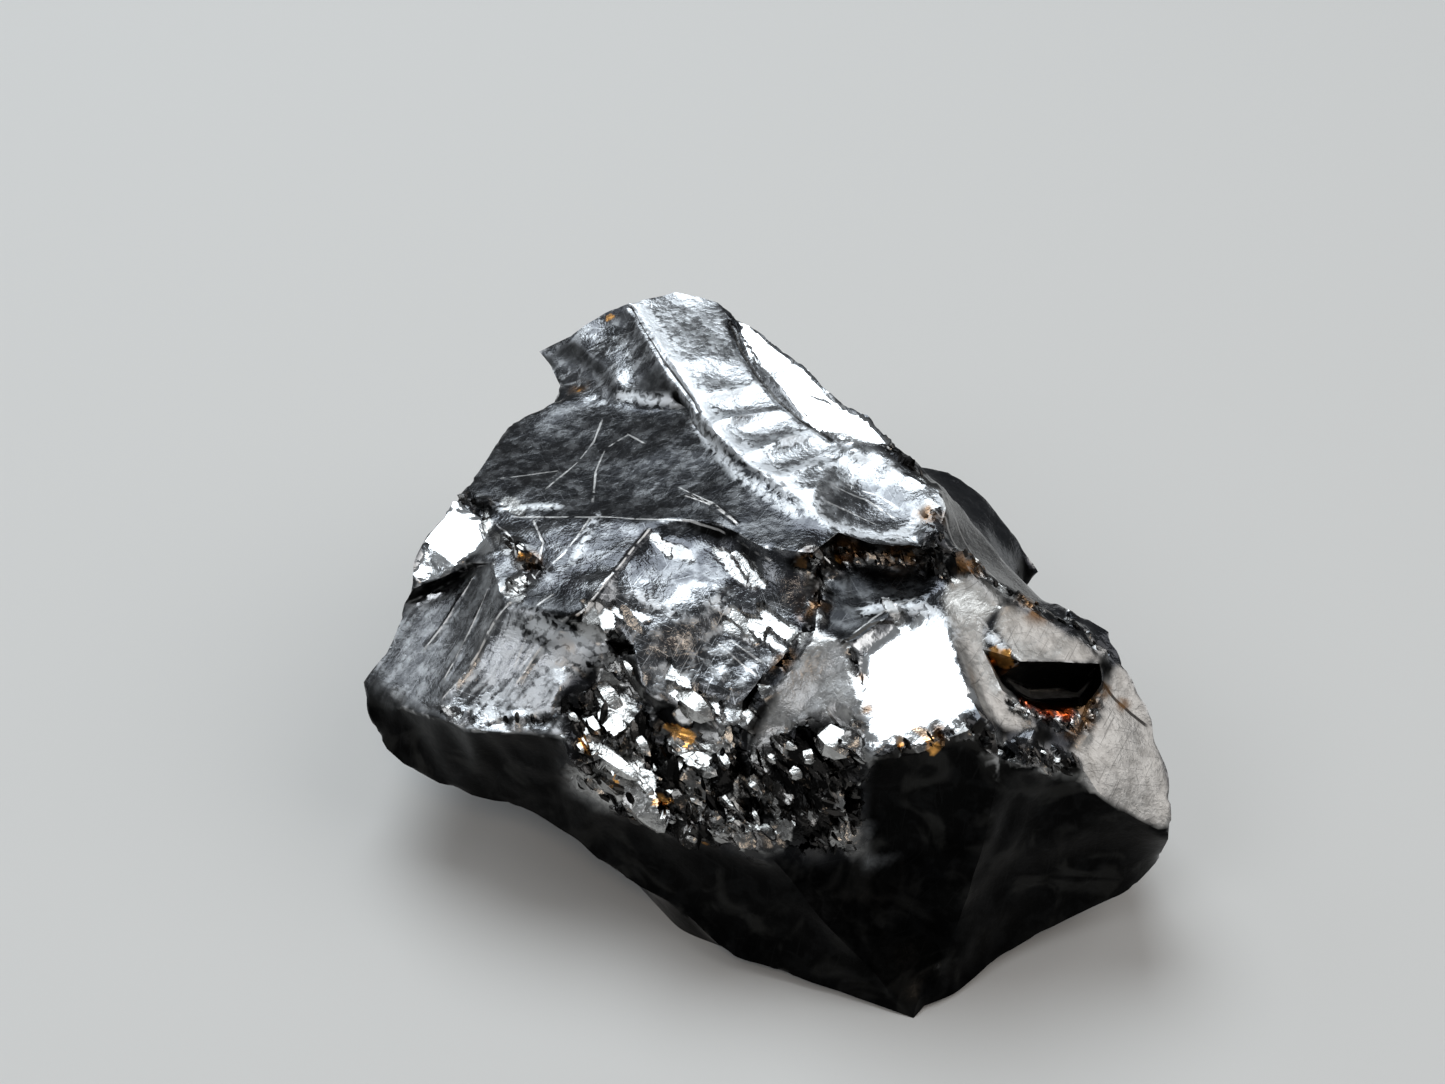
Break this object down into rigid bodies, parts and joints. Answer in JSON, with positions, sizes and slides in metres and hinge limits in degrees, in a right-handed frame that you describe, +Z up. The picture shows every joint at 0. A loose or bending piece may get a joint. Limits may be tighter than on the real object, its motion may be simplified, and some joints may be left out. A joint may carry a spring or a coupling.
{
  "type": "elite shungite nugget",
  "caption": "Rough nugget of glassy black elite shungite with conchoidal scars, a ribbed crest, a crevice, a pit and a crumbled front edge; rests on one flat scar.",
  "frame": {"origin": "middle of the flat scar that the nugget rests on, at the height of the surface that carries it", "axes": "+Z up from the surface; +X runs along the nugget's width, from the thin west tip to the east cheek; +Y runs from the low crumbled front edge to the crest at the back"},
  "size_m": [0.027, 0.0262, 0.0126],
  "materials": {
    "shungite": "near-black glassy carbon with a silvery, half-metallic lustre on broken faces, scuffed in places, with rust-brown stain in crevices"
  },
  "bodies": {
    "root": {"nugget": "shungite"}
  },
  "joints": []
}
